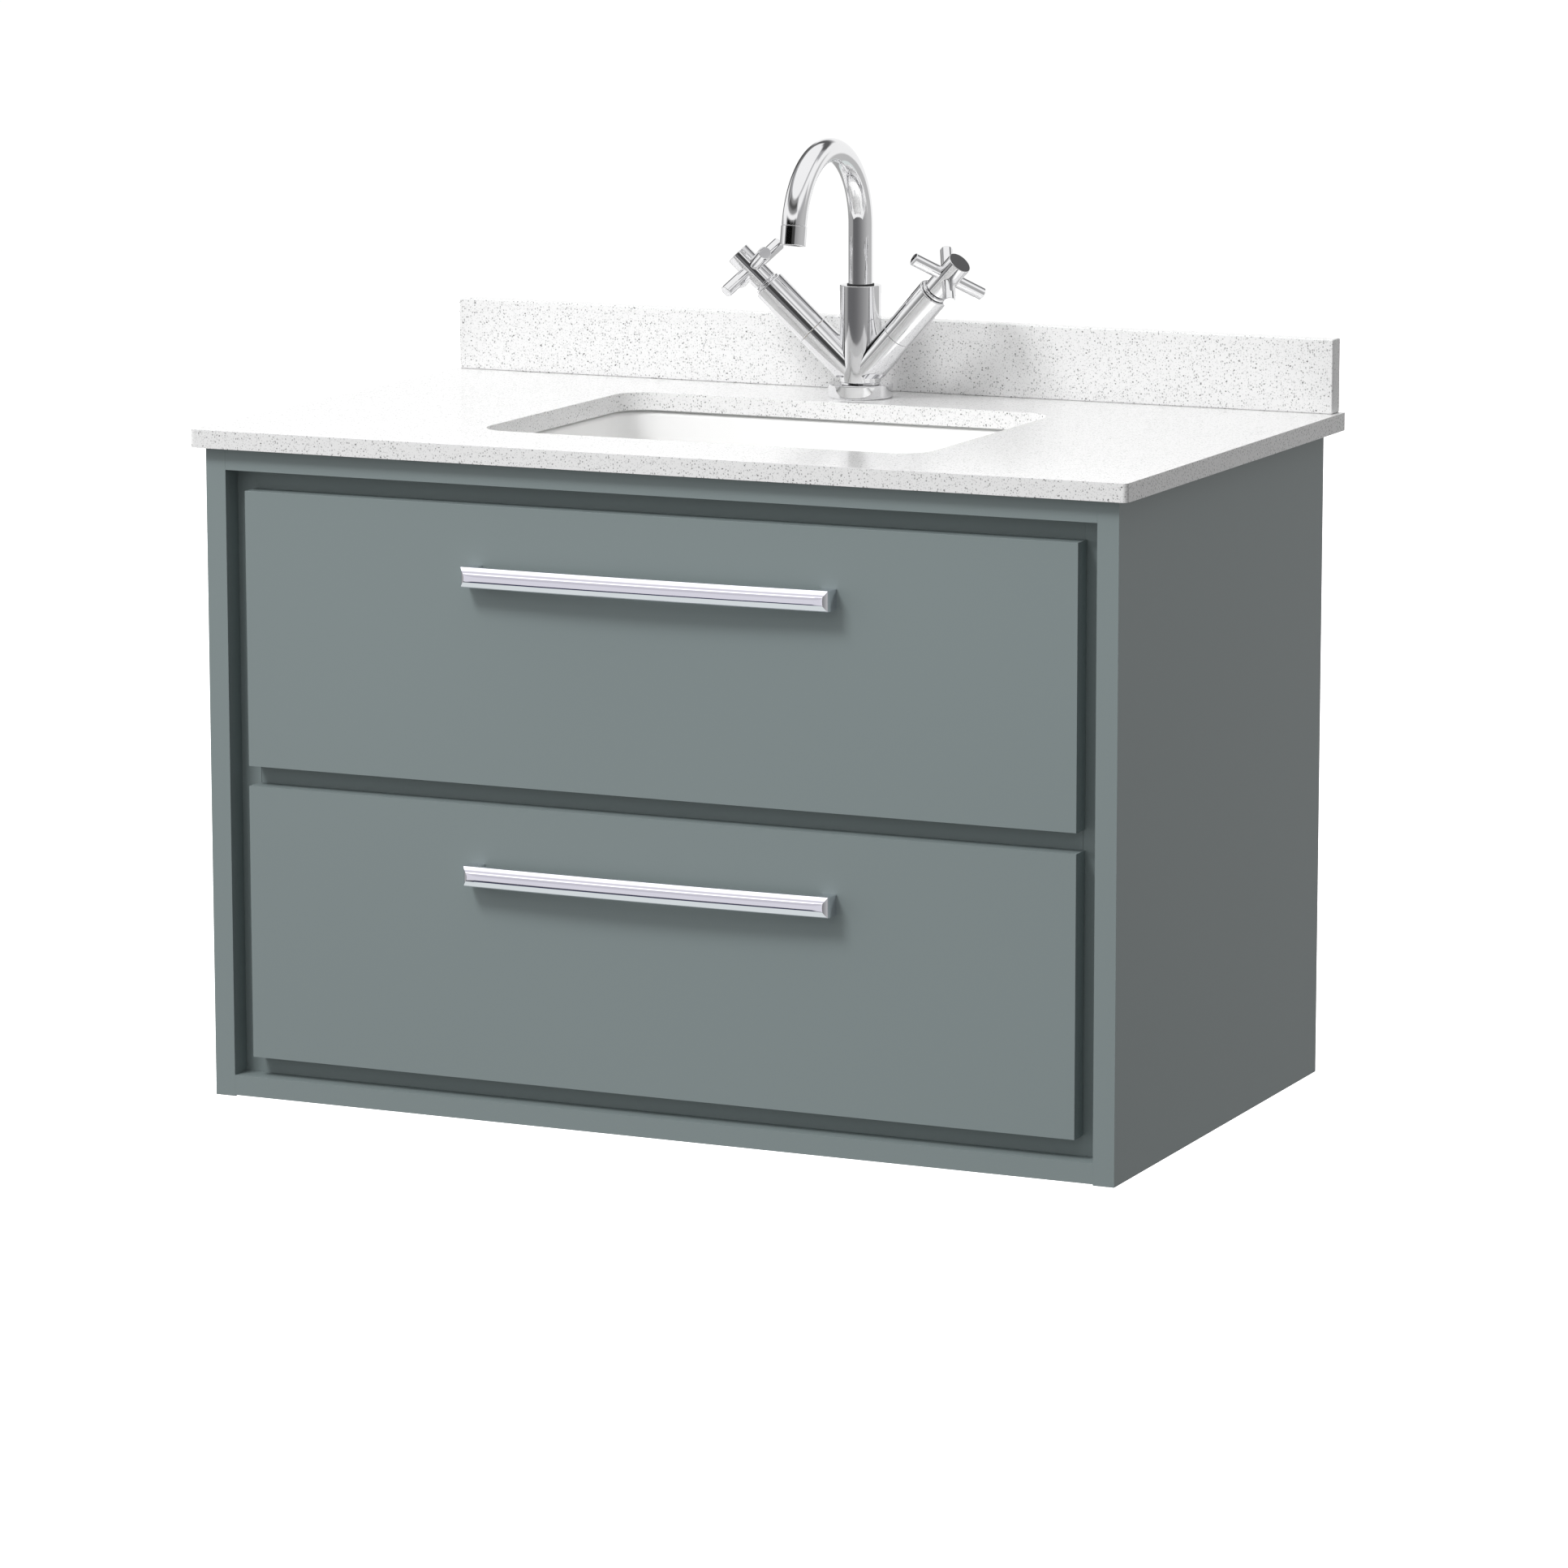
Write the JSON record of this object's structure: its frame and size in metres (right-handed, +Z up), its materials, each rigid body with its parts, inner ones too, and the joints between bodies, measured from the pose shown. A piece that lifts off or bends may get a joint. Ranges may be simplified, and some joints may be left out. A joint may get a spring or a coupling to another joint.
{
  "type": "bathroom vanity cabinet",
  "caption": "Wall-hung bathroom vanity with two framed drawers, a stone worktop and upstand, an undermounted rectangular basin and a swan-neck mixer tap with crosshead handles.",
  "frame": {"origin": "midway between the two hanging screw holes, on the rear face that meets the wall", "axes": "+Z up, drawers face -Y, +X to the right seen from the front, wall is the plane Y = 0"},
  "size_m": [0.82, 0.497, 0.7783],
  "materials": {
    "painted": "satin paint",
    "white_board": "matt foil",
    "timber": "bare",
    "zinc_steel": "zinc plated",
    "quartz": "polished",
    "glazed": "gloss",
    "rubber": "matt",
    "silicone": "clear white sealant",
    "chrome": "polished",
    "brass": "machined"
  },
  "bodies": {
    "cabinet": {"side_panel_left": "painted", "side_panel_right": "painted", "top_rail": "painted", "bottom_panel": "painted", "carcass_side_left": "painted", "carcass_side_right": "painted", "carcass_base": "painted", "carcass_top_rail": "painted", "carcass_mid_rail": "painted", "back_panel": "white_board", "hanging_rail": "timber", "lower_rail": "timber", "wall_batten_upper": "timber", "wall_batten_lower": "timber", "frame_dowels": "timber", "carcass_screws": "zinc_steel", "panel_screws": "zinc_steel", "batten_screws": "zinc_steel", "worktop": "quartz", "upstand": "quartz", "basin": "glazed", "basin_seal": "silicone", "basin_clips": "zinc_steel", "basin_clip_screws": "zinc_steel", "overflow_ring": "chrome", "waste_body": "chrome", "waste_seals": "rubber", "waste_backnut": "brass", "tap_base_ring": "chrome", "tap_body": "chrome", "tap_shank": "brass", "tap_backnut": "brass", "valve_sleeves": "chrome", "valve_cartridges": "brass", "valve_neck_rings": "chrome", "spout_ring": "rubber", "upper_runner_outer": "zinc_steel", "lower_runner_outer": "zinc_steel"},
    "upper_drawer": {"upper_drawer_front": "painted", "upper_box_sides": "white_board", "upper_box_back": "white_board", "upper_box_base": "white_board", "upper_handle": "chrome", "upper_handle_screws": "zinc_steel", "upper_runner_inner": "zinc_steel"},
    "upper_runner_slides": {"upper_runner_middle": "zinc_steel"},
    "lower_drawer": {"lower_drawer_front": "painted", "lower_box_sides": "white_board", "lower_box_back": "white_board", "lower_box_base": "white_board", "lower_handle": "chrome", "lower_handle_screws": "zinc_steel", "lower_runner_inner": "zinc_steel"},
    "lower_runner_slides": {"lower_runner_middle": "zinc_steel"},
    "swivel_spout": {"spout": "chrome", "aerator": "chrome"},
    "hot_valve": {"hot_handle": "chrome"},
    "cold_valve": {"cold_handle": "chrome"},
    "plug": {"waste_plug": "chrome"}
  },
  "joints": [
    {"name": "upper_drawer_slide", "type": "slide", "parent": "cabinet", "child": "upper_drawer", "axis": [0, -1, 0], "range_m": [0, 0.35]},
    {"name": "upper_runner_travel", "type": "slide", "parent": "cabinet", "child": "upper_runner_slides", "axis": [0, -1, 0], "range_m": [0, 0.175]},
    {"name": "lower_drawer_slide", "type": "slide", "parent": "cabinet", "child": "lower_drawer", "axis": [0, -1, 0], "range_m": [0, 0.35]},
    {"name": "lower_runner_travel", "type": "slide", "parent": "cabinet", "child": "lower_runner_slides", "axis": [0, -1, 0], "range_m": [0, 0.175]},
    {"name": "spout_swivel", "type": "hinge", "parent": "cabinet", "child": "swivel_spout", "pos_m": [0, -0.065, 0.196], "axis": [0, 0, 1], "range_deg": [-60, 60]},
    {"name": "hot_valve_turn", "type": "hinge", "parent": "cabinet", "child": "hot_valve", "pos_m": [0, -0.065, 0.116], "axis": [-0.6852, -0.1747, 0.7071], "range_deg": [0, 90]},
    {"name": "cold_valve_turn", "type": "hinge", "parent": "cabinet", "child": "cold_valve", "pos_m": [0, -0.065, 0.116], "axis": [0.6852, -0.1747, 0.7071], "range_deg": [0, 90]},
    {"name": "waste_plug_lift", "type": "slide", "parent": "cabinet", "child": "plug", "axis": [0, 0, 1], "range_m": [0, 0.008]}
  ],
  "couplings": [
    {"joint": "upper_runner_travel", "follows": "upper_drawer_slide", "ratio": 0.5},
    {"joint": "lower_runner_travel", "follows": "lower_drawer_slide", "ratio": 0.5}
  ]
}
